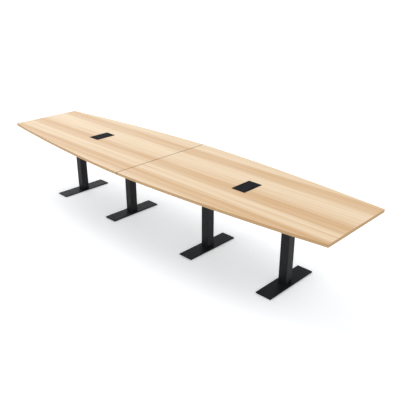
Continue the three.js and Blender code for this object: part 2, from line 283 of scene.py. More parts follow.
# Shares of the step from the deep colour to the pale one.
STREAK_TONE = 0.60
LINE_TONE = 0.90
VEIN_TONE = -0.34
VEIN_LEVELS = (0.57, 0.70)  # the noise's levels between which a vein appears


def wood_figure():
    """Straight-grain figure along X: broad bands across Y, streaks, lines, dark veins, and fine fibre."""
    name = "wood_figure"
    if name in bpy.data.node_groups:
        return bpy.data.node_groups[name]
    tree, given, wanted = new_group(
        name, {"Vector": VECTOR, "Sheet": VECTOR}, {"Streak": VALUE, "Fibre": VALUE})
    shifted = node(tree, "VectorMath", {0: given["Vector"], 1: given["Sheet"]}, operation="ADD").outputs[0]
    across = node(tree, "SeparateXYZ", {0: given["Vector"]}).outputs["Y"]
    streaks = noise(tree, shifted, STREAK_CELLS, detail=3.0)
    wander = centred(tree, noise(tree, shifted, WANDER_CELLS), WANDER_SWING)
    feather = centred(tree, streaks, FEATHER_SWING)
    bent = math_node(tree, "ADD", across, math_node(tree, "ADD", wander, feather))
    bands = ramp(tree, map_range(tree, bent, 0.0, 1.0, *BAND_EDGES), BAND_STOPS)
    soft = math_node(tree, "ADD", bands, centred(tree, streaks, STREAK_TONE))
    lines = centred(tree, noise(tree, shifted, LINE_CELLS), LINE_TONE)
    veins = map_range(tree, noise(tree, shifted, VEIN_CELLS), 0.0, VEIN_TONE, *VEIN_LEVELS)
    figure = math_node(tree, "ADD", soft, math_node(tree, "ADD", lines, veins), clamp=True)
    tree.links.new(figure, wanted["Streak"])
    tree.links.new(noise(tree, shifted, FIBRE_CELLS, roughness=0.6), wanted["Fibre"])
    return tree


# Painted shade beside the seam: how far the colour goes towards the dark seam colour, standing in for the
# groove's shade.
SEAM_PAINTED_SHADE = 0.85
SEAM_FADE = (3.6 * MM, 7.0 * MM)  # where the painted shade starts to fade, and ends


def seam_shade():
    """A mask for painted shade, strongest at the seam between the halves and fading out on both sides, where
    the groove between them is in shade.
    """
    name = "seam_shade"
    if name in bpy.data.node_groups:
        return bpy.data.node_groups[name]
    tree, given, wanted = new_group(name, {"Vector": VECTOR}, {"Mask": VALUE})
    along = node(tree, "SeparateXYZ", {0: given["Vector"]}).outputs["X"]
    away = math_node(tree, "ABSOLUTE", along, 0.0)
    tree.links.new(map_range(tree, away, SEAM_PAINTED_SHADE, 0.0, *SEAM_FADE), wanted["Mask"])
    return tree


CLOUD_CELLS = 14.0  # slow changes of shade to the metre


def fine_texture():
    """The small bumps of a coated or moulded surface, and a slow change of shade over it."""
    name = "fine_texture"
    if name in bpy.data.node_groups:
        return bpy.data.node_groups[name]
    tree, given, wanted = new_group(
        name, {"Vector": VECTOR, "Scale": VALUE}, {"Height": VALUE, "Shade": VALUE})
    bumps = node(tree, "TexNoise", {
        "Vector": given["Vector"], "Scale": given["Scale"], "Detail": 3.0, "Roughness": 0.6})
    clouds = node(tree, "TexNoise", {"Vector": given["Vector"], "Scale": CLOUD_CELLS, "Detail": 4.0})
    tree.links.new(bumps.outputs["Fac"], wanted["Height"])
    tree.links.new(clouds.outputs["Fac"], wanted["Shade"])
    return tree


# Materials

SHEETS = {"left": (0.0, 0.0, 0.0), "right": (7.3, 0.0, 0.4)}  # the stretch of figure on each half
BACKING_DEPTH = 0.2 * MM
FIBRE_TONE = (0.90, 1.08)
FIBRE_ROUGHNESS = (0.40, 0.56)
WOOD_RELIEF = 0.2 * MM
EDGING_LINE_CELLS = (1.6, 1.6, 420.0)
EDGING_CLOUD_CELLS = (2.2, 2.2, 30.0)
EDGING_SHADES = (0.84, 1.14)
EDGING_ROUGHNESS = (0.42, 0.58)
GRAIN_SHADES = (0.72, 1.3)
GRAIN_RELIEF = 0.3 * MM
GLOSS_SPREAD = 0.08
PLATE_PAINTED_LIGHT = 1.6  # painted light and shade: the foot plates' coat against the columns', a lighter and far less glossy copy of the same coat, set for how light falls on the plates


def new_material(name):
    """A material with a Principled shader, and its Object coordinates."""
    made = bpy.data.materials.new(name)
    made.use_nodes = True
    tree = made.node_tree
    shader = tree.nodes["Principled BSDF"]
    return made, tree, shader, node(tree, "TexCoord").outputs["Object"]


def painted_shade_at_seam(tree, place, colour):
    """A colour darkened towards the seam colour where the two halves meet: painted shade standing in for the
    shade of the groove between them.
    """
    shade = node(tree, "Group", {"Vector": place}, node_tree=seam_shade())
    return mix(tree, shade.outputs["Mask"], colour, bpy.context.scene.table_top.seam)


def laminate(name, hand):
    """Pale straight-grain laminate with a plain backing; each half has its own stretch of figure."""
    top = bpy.context.scene.table_top
    made, tree, shader, place = new_material(name)
    figure = node(tree, "Group", {"Vector": place, "Sheet": SHEETS[hand]}, node_tree=wood_figure())
    fibre = figure.outputs["Fibre"]
    figured = mix(tree, figure.outputs["Streak"], top.deep, top.pale)
    height = node(tree, "SeparateXYZ", {0: place}).outputs["Z"]
    under = math_node(tree, "LESS_THAN", height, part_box(f"top_panel_{hand}")[0].z + BACKING_DEPTH)
    backed = mix(tree, under, figured, top.backing)
    # Painted shade: the laminate darkens towards the seam.
    tone = painted_shade_at_seam(tree, place, backed)
    shade = map_range(tree, fibre, *FIBRE_TONE)
    colour = node(tree, "VectorMath", {0: tone, 1: shade}, operation="MULTIPLY").outputs[0]
    tree.links.new(colour, shader.inputs["Base Color"])
    tree.links.new(map_range(tree, fibre, *FIBRE_ROUGHNESS), shader.inputs["Roughness"])
    relief(tree, shader, fibre, strength=0.12, depth=WOOD_RELIEF)
    shader.inputs["Specular IOR Level"].default_value = 0.35
    return made


def edging(name, colour, specular):
    """Wood-tone plastic strip with fine lines along its length."""
    made, tree, shader, place = new_material(name)
    lines = noise(tree, place, EDGING_LINE_CELLS, detail=3.0)
    clouds = noise(tree, place, EDGING_CLOUD_CELLS)
    average = math_node(tree, "MULTIPLY", math_node(tree, "ADD", lines, clouds), 0.5)
    tone = shades(tree, average, colour, *EDGING_SHADES)
    # Painted shade: the edging darkens towards the seam.
    tree.links.new(painted_shade_at_seam(tree, place, tone), shader.inputs["Base Color"])
    tree.links.new(map_range(tree, lines, *EDGING_ROUGHNESS), shader.inputs["Roughness"])
    relief(tree, shader, lines, strength=0.15, depth=WOOD_RELIEF)
    shader.inputs["Specular IOR Level"].default_value = specular
    return made


def fine_grained(name, colour, grain, roughness, bumps, specular, metallic=0.0):
    """A coated or moulded finish: fine bumps and a little unevenness in shade and gloss."""
    made, tree, shader, place = new_material(name)
    texture = node(tree, "Group", {"Vector": place, "Scale": grain}, node_tree=fine_texture())
    clouds = texture.outputs["Shade"]
    gloss = map_range(tree, clouds, roughness - GLOSS_SPREAD, roughness + GLOSS_SPREAD)
    tree.links.new(shades(tree, clouds, colour, *GRAIN_SHADES), shader.inputs["Base Color"])
    tree.links.new(gloss, shader.inputs["Roughness"])
    relief(tree, shader, texture.outputs["Height"], strength=bumps, depth=GRAIN_RELIEF)
    shader.inputs["Specular IOR Level"].default_value = specular
    shader.inputs["Metallic"].default_value = metallic
    return made


def finish(kind):
    """The finished material of a kind of surface, made when it is first asked for."""
    name = f"{kind}_finish"
    if name in bpy.data.materials:
        return bpy.data.materials[name]
    scene = bpy.context.scene
    top, legs, power = scene.table_top, scene.table_legs, scene.table_power
    if kind.startswith("laminate"):
        return laminate(name, kind.split("_")[1])
    if kind == "edging":
        return edging(name, top.edging, specular=0.18)
    # Painted shade: the seam strips are a copy of the edging in the dark seam colour.
    if kind == "seam_edging":
        return edging(name, top.seam, specular=0.02)
    if kind == "black_steel":
        return fine_grained(name, legs.coat, grain=1100, roughness=0.46, bumps=0.25, specular=0.18)
    # Painted light and shade: the plates carry a lighter copy of the columns' coat with less gloss, set for
    # how light falls on them.
    if kind == "plate_steel":
        coat = scaled_colour(legs.coat, PLATE_PAINTED_LIGHT)
        return fine_grained(name, coat, grain=1100, roughness=0.40, bumps=0.25, specular=0.048)
    if kind == "black_plastic":
        return fine_grained(name, power.shell, grain=2600, roughness=0.50, bumps=0.20, specular=0.005)
    if kind == "grey_plastic":
        return fine_grained(name, power.sockets, grain=3200, roughness=0.40, bumps=0.08, specular=0.5)
    if kind == "zinc_steel":
        return fine_grained(
            name, legs.zinc, grain=1800, roughness=0.34, bumps=0.10, specular=0.5, metallic=1.0)
    if kind == "nylon":
        return fine_grained(name, power.nylon, grain=2200, roughness=0.55, bumps=0.12, specular=0.5)
    raise ValueError(f"no finish for {kind}")


# Mesh work

def node_mesh(name):
    """A merged copy of a CAD node's mesh, its flat faces made whole."""
    mesh = bmesh.new()
    mesh.from_mesh(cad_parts[name].data)
    bmesh.ops.remove_doubles(mesh, verts=mesh.verts, dist=SAME_POINT)
    bmesh.ops.dissolve_limit(mesh, angle_limit=FLAT, verts=mesh.verts, edges=mesh.edges)
    return mesh


def is_level(face):
    """Whether a face looks up or down."""
    return abs(face.normal.z) > 0.9


def is_upright(face):
    """Whether a face looks sideways."""
    return abs(face.normal.z) < 0.5


def edge_middle(edge):
    """The middle of an edge."""
    return (edge.verts[0].co + edge.verts[1].co) / 2


def lies_at(edge, height):
    """Whether an edge lies level at a height."""
    return all(abs(vert.co.z - height) < ON_FACE for vert in edge.verts)


def side_gaps(spot, low, high):
    """How far inside a box's sides a spot lies, along X and along Y."""
    return min(spot.x - low.x, high.x - spot.x), min(spot.y - low.y, high.y - spot.y)


def round_edges(mesh, edges, radius, segments):
    """Rounds some edges of a mesh."""
    bmesh.ops.bevel(
        mesh, geom=edges, offset=radius, offset_type="OFFSET", affect="EDGES",
        segments=segments, profile=0.5, material=-1)


def ease(mesh, radius, choose=None, segments=2):
    """Rounds the outside edges of a mesh, or those that a test picks."""
    mesh.normal_update()
    sharp = [
        edge for edge in mesh.edges
        if len(edge.link_faces) == 2 and edge.calc_face_angle_signed(0) > SHARP
        and (choose is None or choose(edge))]
    round_edges(mesh, sharp, radius, segments)


def block(mesh, low, high):
    """Adds a box between two corners."""
    low, high = Vector(low), Vector(high)
    place = Matrix.Translation((low + high) / 2) @ Matrix.Diagonal((*(high - low), 1))
    bmesh.ops.create_cube(mesh, size=1, matrix=place)


def in_metres(profile, lift=0.0):
    """A profile's (radius, height) points from millimetres to metres, raised by a lift in metres."""
    return [(radius * MM, height * MM + lift) for radius, height in profile]


def turned(mesh, profile, steps, place, six_sided=None, ring=False):
    """Spins (radius, height) points about Z and sets the shape in place. A test on the radius picks the
    points on a hexagon's outline. A ring's profile closes on itself."""
    old = set(mesh.verts)
    verts = [mesh.verts.new((radius, 0, height)) for radius, height in profile]
    pairs = list(zip(verts, verts[1:]))
    if ring:
        pairs.append((verts[-1], verts[0]))
    edges = [mesh.edges.new(pair) for pair in pairs]
    bmesh.ops.spin(
        mesh, geom=verts + edges, cent=(0, 0, 0), axis=(0, 0, 1), angle=math.tau,
        steps=steps, use_merge=True)
    bmesh.ops.remove_doubles(
        mesh, verts=[vert for vert in mesh.verts if vert not in old], dist=SAME_POINT)
    made = [vert for vert in mesh.verts if vert not in old]
    for vert in made:
        radius = math.hypot(vert.co.x, vert.co.y)
        if six_sided and radius > 0 and six_sided(radius):
            turn = math.atan2(vert.co.y, vert.co.x) % HEXAGON_SIDE
            share = math.cos(HEXAGON_SIDE / 2) / math.cos(turn - HEXAGON_SIDE / 2)
            vert.co.x *= share
            vert.co.y *= share
    faces = list({face for vert in made for face in vert.link_faces})
    bmesh.ops.recalc_face_normals(mesh, faces=faces)
    bmesh.ops.transform(mesh, matrix=place, verts=made)


def make_piece(mesh, name, body, slot, replaced=(), material=None):
    """Shows a bmesh as a piece that rides on a body and stands for the nodes it replaces."""
    data = bpy.data.meshes.new(name)
    mesh.to_mesh(data)
    mesh.free()
    if "custom_normal" in data.attributes:
        data.attributes.remove(data.attributes["custom_normal"])
    data.materials.clear()
    data.materials.append(finish(material or slot))
    data.shade_smooth()
    data.set_sharp_from_angle(angle=SMOOTH)
    piece = bpy.data.objects.new(name, data)
    bpy.context.scene.collection.objects.link(piece)
    even = piece.modifiers.new("even_shading", "WEIGHTED_NORMAL")
    even.keep_sharp = True
    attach(piece, body)
    if replaced:
        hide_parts(*replaced)


def middle(name):
    """The middle of a CAD node's box."""
    low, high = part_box(name)
    return (low + high) / 2


# Screws

HEAD_FOOT = 5.6 * MM  # radius where the head sits
HEAD_FACE = 4.4 * MM  # radius of its face
HEAD_HEIGHT = 3 * MM
HEAD_SIDES = 24
HEAD_ROUNDING = 0.8 * MM
RECESS_RIM = 1.4 * MM
RECESS_DEPTH = 1.6 * MM
RECESS_TAPER = 0.1 * MM
LOBES = 6
LOBE_SHARE = 0.16
FACING_DOWN = Matrix.Rotation(math.pi, 4, "X")


def pan_screw(mesh, place):
    """Adds a low round screw head with a lobed recess; its face looks along the place's Z."""
    made = bmesh.ops.create_cone(
        mesh, cap_ends=True, segments=HEAD_SIDES, radius1=HEAD_FOOT, radius2=HEAD_FACE,
        depth=HEAD_HEIGHT, matrix=place @ Matrix.Translation((0, 0, HEAD_HEIGHT / 2)))["verts"]
    mesh.normal_update()
    outward = place.to_3x3() @ Vector((0, 0, 1))
    sides = {face for vert in made for face in vert.link_faces}
    cap = max(sides, key=lambda face: face.normal.dot(outward))
    round_edges(mesh, list(cap.edges), HEAD_ROUNDING, segments=3)
    mesh.normal_update()
    near = place @ Vector((0, 0, HEAD_HEIGHT))
    discs = [face for face in mesh.faces if len(face.verts) == HEAD_SIDES]
    cap = min(discs, key=lambda face: (face.calc_center_median() - near).length)
    bmesh.ops.inset_individual(mesh, faces=[cap], thickness=RECESS_RIM)
    centre = cap.calc_center_median()
    back = place.inverted()
    for vert in cap.verts:
        spot = back @ vert.co
        lobe = 1 + LOBE_SHARE * math.cos(LOBES * math.atan2(spot.y, spot.x))
        vert.co = centre + (vert.co - centre) * lobe
    bmesh.ops.inset_individual(mesh, faces=[cap], thickness=RECESS_TAPER, depth=-RECESS_DEPTH)


def screw_spots(name, inset, shares=(-1, 1)):
    """Screw places on a node's plan: two rows along Y, at shares of the rows' half length."""
    low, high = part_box(name)
    centre = middle(name)
    reach_x = (high.x - low.x) / 2 - inset
    reach_y = (high.y - low.y) / 2 - inset
    return [
        (centre.x + side * reach_x, centre.y + share * reach_y)
        for side in (-1, 1) for share in shares]


def screws_below(name, node_name, inset, shares=(-1, 1)):
    """The screws whose heads sit under a node, as one piece."""
    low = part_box(node_name)[0]
    mesh = bmesh.new()
    for x, y in screw_spots(node_name, inset, shares):
        pan_screw(mesh, Matrix.Translation((x, y, low.z)) @ FACING_DOWN)
    make_piece(mesh, name, TABLE, "zinc_steel")


# The top

def grow_sides(mesh, amount, inside):
    """Moves a board's upright outer faces outwards; a test keeps the points of inner holes in place."""
    mesh.normal_update()
    moves = {}
    for vert in mesh.verts:
        sides = [face.normal for face in vert.link_faces if is_upright(face)]
        if inside(vert.co) or not sides:
            continue
        first, last = sides[0], sides[-1]
        moves[vert] = (first + last) / (1 + first.dot(last)) * amount
    for vert, move in moves.items():
        vert.co += move


class TABLE_OT_top(bpy.types.Operator):
    """Both halves of the board, their edging and the edging in the seam"""

    bl_idname = "table.top"
    bl_label = "Top"

    glue_line = 0.28 * MM  # the board grows by this to meet its edging
    cutout_reach = 10 * MM  # round the back box, past the hole over it
    outer_reach = 100 * MM  # an outer face lies at least this far from the half's middle
    seam_clear = 10 * MM  # edges this near the seam keep their cut corners
    seam_radius = 0.6 * MM

    def execute(self, context):
        radius = context.scene.table_top.edge_radius
        for hand in HANDS:
            self.board(hand)
            self.edging(hand, radius)
            self.seam(hand)
        return {"FINISHED"}

    def board(self, hand):
        """One half of the board, out to its edging."""
        low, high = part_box(f"back_box_{hand}")

        def by_the_cutout(spot):
            return min(side_gaps(spot, low, high)) > -self.cutout_reach

        mesh = node_mesh(f"top_panel_{hand}")
        grow_sides(mesh, self.glue_line, by_the_cutout)
        make_piece(mesh, f"board_{hand}", TABLE, "laminate", [f"top_panel_{hand}"], f"laminate_{hand}")

    def edging(self, hand, radius):
        """The strip round one half, with its outer corners rounded."""
        mesh = node_mesh(f"edge_band_{hand}")
        centre = middle(f"top_panel_{hand}")

        def outer_rim(edge):
            spot = edge_middle(edge)
            level = any(is_level(face) for face in edge.link_faces)
            outer = any(
                is_upright(face) and face.normal.dot(spot - centre) > self.outer_reach
                for face in edge.link_faces)
            return level and outer and abs(spot.x) > self.seam_clear

        ease(mesh, radius, outer_rim, segments=4)
        make_piece(mesh, f"edging_{hand}", TABLE, "edging", [f"edge_band_{hand}"])

    def seam(self, hand):
        """The strip on one half's face at the seam."""
        mesh = bmesh.new()
        block(mesh, *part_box(f"seam_band_{hand}"))
        ease(mesh, self.seam_radius)
        # Painted shade: the strip takes the dark seam colour.
        make_piece(mesh, f"seam_strip_{hand}", TABLE, "edging", [f"seam_band_{hand}"], "seam_edging")


# Steel pieces

PLATE_SCREW_INSET = 18 * MM


def screwed_plate(node_name, name, screws_name, radius, shares=(-1, 1)):
    """A steel plate with eased edges, and the screws that hold it up to the top."""
    mesh = node_mesh(node_name)
    ease(mesh, radius)
    make_piece(mesh, name, TABLE, "black_steel", [node_name])
    screws_below(screws_name, node_name, PLATE_SCREW_INSET, shares)


class TABLE_OT_joining_plates(bpy.types.Operator):
    """Plates across the underside of the seam, with their screws"""

    bl_idname = "table.joining_plates"
    bl_label = "Joining plates"

    def execute(self, context):
        radius = context.scene.table_legs.edge_radius
        for place in SEAM_PLACES:
            screwed_plate(f"joining_plate_{place}", f"seam_plate_{place}", f"seam_screws_{place}", radius)
        return {"FINISHED"}


class TABLE_OT_columns(bpy.types.Operator):
    """Square tube columns, with the weld under each bracket"""

    bl_idname = "table.columns"
    bl_label = "Columns"

    corner = 4 * MM
    corner_steps = 8
    wall = 3 * MM
    bead = 5 * MM
    bead_cuts = 4
    bead_wall = 0.15 * MM
    bead_lift = 0.2 * MM  # stands off the tube by this
    bead_drop = 0.05 * MM  # ends this far under the bracket

    def execute(self, context):
        for number in LEGS:
            low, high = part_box(f"column_{number}")
            self.tube(number, low, high)
            self.weld(number, low, high)
        return {"FINISHED"}

    def sleeve(self, low, high):
        """The four sides of a box with rounded corners, open at both ends."""
        mesh = bmesh.new()
        block(mesh, low, high)
        mesh.normal_update()
        ends = [face for face in mesh.faces if is_level(face)]
        bmesh.ops.delete(mesh, geom=ends, context="FACES_ONLY")
        upright = [edge for edge in mesh.edges if len(edge.link_faces) == 2]
        round_edges(mesh, upright, self.corner, self.corner_steps)
        return mesh

    def tube(self, number, low, high):
        """A column's hollow tube."""
        mesh = self.sleeve(low, high)
        bmesh.ops.recalc_face_normals(mesh, faces=mesh.faces)
        bmesh.ops.solidify(mesh, geom=mesh.faces, thickness=self.wall)
        make_piece(mesh, f"post_{number}", TABLE, "black_steel", [f"column_{number}"])

    def weld(self, number, low, high):
        """A bead round the column's upper end, flared out to meet the bracket."""
        centre = middle(f"column_{number}")
        half = (high.x - low.x) / 2
        top = high.z - self.bead_drop
        mesh = self.sleeve((low.x, low.y, top - self.bead), (high.x, high.y, top))
        upright = [edge for edge in mesh.edges if abs(edge.verts[0].co.z - edge.verts[1].co.z) > MM]
        bmesh.ops.subdivide_edges(mesh, edges=upright, cuts=self.bead_cuts)
        for vert in mesh.verts:
            rise = (vert.co.z - top + self.bead) / self.bead
            flare = self.bead * (1 - math.sqrt(max(0.0, 1 - rise * rise))) + self.bead_lift
            grow = 1 + flare / half
            vert.co.x = centre.x + (vert.co.x - centre.x) * grow
            vert.co.y = centre.y + (vert.co.y - centre.y) * grow
        bmesh.ops.recalc_face_normals(mesh, faces=mesh.faces)
        bmesh.ops.solidify(mesh, geom=mesh.faces, thickness=self.bead_wall)
        make_piece(mesh, f"weld_{number}", TABLE, "black_steel")


class TABLE_OT_foot_plates(bpy.types.Operator):
    """Flat foot plates with eased edges"""

    bl_idname = "table.foot_plates"
    bl_label = "Foot plates"

    outline = 4 * MM  # edges this near the plate's outline are eased

    def execute(self, context):
        radius = context.scene.table_legs.edge_radius
        for number in LEGS:
            node_name = f"foot_plate_{number}"
            low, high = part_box(node_name)

            def outer(edge):
                return min(side_gaps(edge_middle(edge), low, high)) < self.outline

            mesh = node_mesh(node_name)
            ease(mesh, radius, outer, segments=3)
            make_piece(mesh, f"foot_{number}", TABLE, "black_steel", [node_name], "plate_steel")
        return {"FINISHED"}


class TABLE_OT_brackets(bpy.types.Operator):
    """Plates that carry the top, with their screws"""

    bl_idname = "table.brackets"
    bl_label = "Top brackets"

    screw_shares = (-1, -0.5, 0.5, 1)

    def execute(self, context):
        radius = context.scene.table_legs.edge_radius
        for number in LEGS:
            screwed_plate(
                f"top_bracket_{number}", f"bracket_{number}", f"bracket_screws_{number}", radius,
                self.screw_shares)
        return {"FINISHED"}


def turned_fastener(node_name, name, body, slot, foot, end, steps, socket):
    """A piece turned about its upright axis, from a profile at its foot and one at its end. Points inside
    the socket's radius are on a hexagon."""
    low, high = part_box(node_name)
    centre = middle(node_name)
    points = in_metres(foot) + in_metres(end, high.z - low.z)
    place = Matrix.Translation((centre.x, centre.y, low.z))
    mesh = bmesh.new()
    turned(mesh, points, steps, place, six_sided=lambda radius: radius < socket)
    make_piece(mesh, name, body, slot, [node_name])


class TABLE_OT_foot_bolts(bpy.types.Operator):
    """Countersunk bolts with hexagon sockets"""

    bl_idname = "table.foot_bolts"
    bl_label = "Foot bolts"

    head = ((0, 3), (3.1, 3), (3.1, 0.2), (3.4, 0), (9.6, 0), (10, 0.4), (5, 5.2))
    end = ((5, -1), (4, 0), (0, 0))
    steps = 24
    socket = 3.5 * MM

    def execute(self, context):
        for number in LEGS:
            turned_fastener(
                f"foot_bolt_{number}", f"bolt_{number}", TABLE, "zinc_steel", self.head, self.end,
                self.steps, self.socket)
        return {"FINISHED"}


class TABLE_OT_glides(bpy.types.Operator):
    """Levelling glides: a moulded pad, and a stud with a hexagon socket in its end"""

    bl_idname = "table.glides"
    bl_label = "Levelling glides"

    pad = ((0, 0), (13.6, 0), (14.6, 0.4), (15, 1.1), (15, 1.9), (14.6, 2.4), (14.2, 2.5), (4, 2.5))
    stud = ((4, -0.4), (3.6, 0), (2.4, 0), (2.2, -0.2), (2.2, -3), (0, -3))
    steps = 36
    socket = 2.5 * MM

    def execute(self, context):
        for number in LEGS:
            for corner in CORNERS:
                node_name = f"glide_{number}_{corner}"
                turned_fastener(
                    node_name, f"foot_glide_{number}_{corner}", node_name, "nylon", self.pad, self.stud,
                    self.steps, self.socket)
        return {"FINISHED"}


# Power boxes

class TABLE_OT_power_frames(bpy.types.Operator):
    """Moulded frames let into the top"""

    bl_idname = "table.power_frames"
    bl_label = "Power box frames"

    def execute(self, context):
        radius = context.scene.table_power.edge_radius
        for hand in HANDS:
            node_name = f"power_bezel_{hand}"
            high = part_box(node_name)[1]
            mesh = node_mesh(node_name)
            ease(mesh, radius, lambda edge: lies_at(edge, high.z), segments=3)
            make_piece(mesh, f"power_frame_{hand}", TABLE, "black_plastic", [node_name])
        return {"FINISHED"}


class TABLE_OT_lids(bpy.types.Operator):
    """Flip lids with a finger notch, and ribs on the underside"""

    bl_idname = "table.lids"
    bl_label = "Lids"

    sliver = 5e-6  # shorter edges are closed up
    rib_height = 1.6 * MM
    rib_width = 1.5 * MM
    rib_root = 0.2 * MM  # runs this far into the lid
    rib_reach_x = 38 * MM
    rib_reach_y = 86 * MM

    def execute(self, context):
        radius = context.scene.table_power.edge_radius
        for hand in HANDS:
            node_name = f"power_lid_{hand}"
            low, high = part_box(node_name)
            mesh = node_mesh(node_name)
            ease(
                mesh, radius, lambda edge: lies_at(edge, low.z) or lies_at(edge, high.z), segments=3)
            bmesh.ops.dissolve_degenerate(mesh, dist=self.sliver, edges=mesh.edges)
            self.ribs(mesh, middle(node_name), low.z)
            make_piece(mesh, f"lid_{hand}", node_name, "black_plastic", [node_name])
        return {"FINISHED"}

    def ribs(self, mesh, centre, underside):
        """Adds a grid of ribs under a lid."""
        half = self.rib_width / 2
        bottom, top = underside - self.rib_height, underside + self.rib_root
        front, back = centre.y - self.rib_reach_y, centre.y + self.rib_reach_y
        left, right = centre.x - self.rib_reach_x, centre.x + self.rib_reach_x
        for x in (left, right):
            block(mesh, (x - half, front, bottom), (x + half, back, top))
        for share in (-1, -1 / 3, 1 / 3, 1):
            y = centre.y + share * self.rib_reach_y
            block(mesh, (left, y - half, bottom), (right, y + half, top))


class TABLE_OT_back_boxes(bpy.types.Operator):
    """Steel boxes under the top, with their knockouts and screws"""

    bl_idname = "table.back_boxes"
    bl_label = "Back boxes"

    knockout = ((0, 0.5), (8.2, 0.5), (8.6, 0.1), (9.4, 0.1), (9.8, 0.5), (11, 0.5), (11.6, -0.1), (0, -0.1))
    knockout_steps = 32
    knockout_x = 28 * MM  # from the middle of the end
    knockout_y = 58 * MM  # from the middle of a long side
    border = 16 * MM
    pressed = 0.8 * MM
    screw_inset = 9 * MM

    def execute(self, context):
        radius = context.scene.table_legs.edge_radius
        for hand in HANDS:
            node_name = f"back_box_{hand}"
            mesh = node_mesh(node_name)
            ease(mesh, radius, self.outer_edge(node_name))
            self.press_floor(mesh)
            make_piece(mesh, f"wiring_box_{hand}", TABLE, "black_steel", [node_name])
            self.knockouts(hand)
            screws_below(f"box_screws_{hand}", node_name, self.screw_inset)
        return {"FINISHED"}

    def outer_edge(self, node_name):
        """A test for the edges where two of a box's outer faces meet, below its open top."""
        low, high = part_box(node_name)

        def outer(edge):
            spot = edge_middle(edge)
            gaps = (*side_gaps(spot, low, high), spot.z - low.z)
            return spot.z < high.z - ON_FACE and sum(gap < ON_FACE for gap in gaps) >= 2

        return outer

    def press_floor(self, mesh):
        """Presses a shallow panel into the underside."""
        mesh.normal_update()
        downward = [face for face in mesh.faces if is_level(face) and face.normal.z < 0]
        floor = max(downward, key=lambda face: face.calc_area())
        bmesh.ops.inset_individual(mesh, faces=[floor], thickness=self.border)
        bmesh.ops.inset_individual(mesh, faces=[floor], thickness=2 * self.pressed, depth=-self.pressed)

    def knockouts(self, hand):
        """Round pressed discs on both long sides and on the end without a gland."""
        low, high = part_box(f"back_box_{hand}")
        centre = middle(f"back_box_{hand}")
        spots = []
        for x in (centre.x - self.knockout_x, centre.x + self.knockout_x):
            spots.append((Vector((x, low.y, centre.z)), Vector((0, -1, 0))))
        for y in (centre.y - self.knockout_y, centre.y + self.knockout_y):
            spots.append((Vector((low.x, y, centre.z)), Vector((-1, 0, 0))))
            spots.append((Vector((high.x, y, centre.z)), Vector((1, 0, 0))))
        mesh = bmesh.new()
        for spot, outward in spots:
            turn = outward.to_track_quat("Z", "Y").to_matrix().to_4x4()
            turned(mesh, in_metres(self.knockout), self.knockout_steps, Matrix.Translation(spot) @ turn)
        make_piece(mesh, f"knockouts_{hand}", TABLE, "black_steel")


class TABLE_OT_cable_glands(bpy.types.Operator):
    """Cable glands in the ends of the back boxes"""

    bl_idname = "table.cable_glands"
    bl_label = "Cable glands"

    profile = (
        (4.5, 0), (7.5, 0), (7.5, 6.1), (10.4, 6.1), (11, 6.7), (11, 10.5), (10.4, 11.1), (8.6, 11.1),
        (8.6, 11.9), (8, 12.3), (8, 13.1), (8.6, 13.5), (8.4, 14.3), (7.8, 14.7), (7.8, 15.5), (8.2, 15.9),
        (7.6, 18.2), (6.4, 21.2), (5.1, 23), (4.5, 22.6))
    steps = 48
    nut = 10 * MM  # points outside this radius are on the hexagon

    def execute(self, context):
        along_y = Matrix.Rotation(-math.pi / 2, 4, "X")
        for hand in HANDS:
            node_name = f"cable_gland_{hand}"
            centre = middle(node_name)
            place = Matrix.Translation((centre.x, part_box(node_name)[0].y, centre.z)) @ along_y
            mesh = bmesh.new()
            turned(
                mesh, in_metres(self.profile), self.steps, place,
                six_sided=lambda radius: radius > self.nut, ring=True)
            make_piece(mesh, f"gland_{hand}", TABLE, "nylon", [node_name])
        return {"FINISHED"}


class TABLE_OT_hinge_pins(bpy.types.Operator):
    """Zinc finish on the lids' hinge pins, which keep their CAD shape"""

    bl_idname = "table.hinge_pins"
    bl_label = "Hinge pins"

    def execute(self, context):
        for hand in HANDS:
            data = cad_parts[f"hinge_pin_{hand}"].data
            data.materials.clear()
            data.materials.append(finish("zinc_steel"))
        return {"FINISHED"}


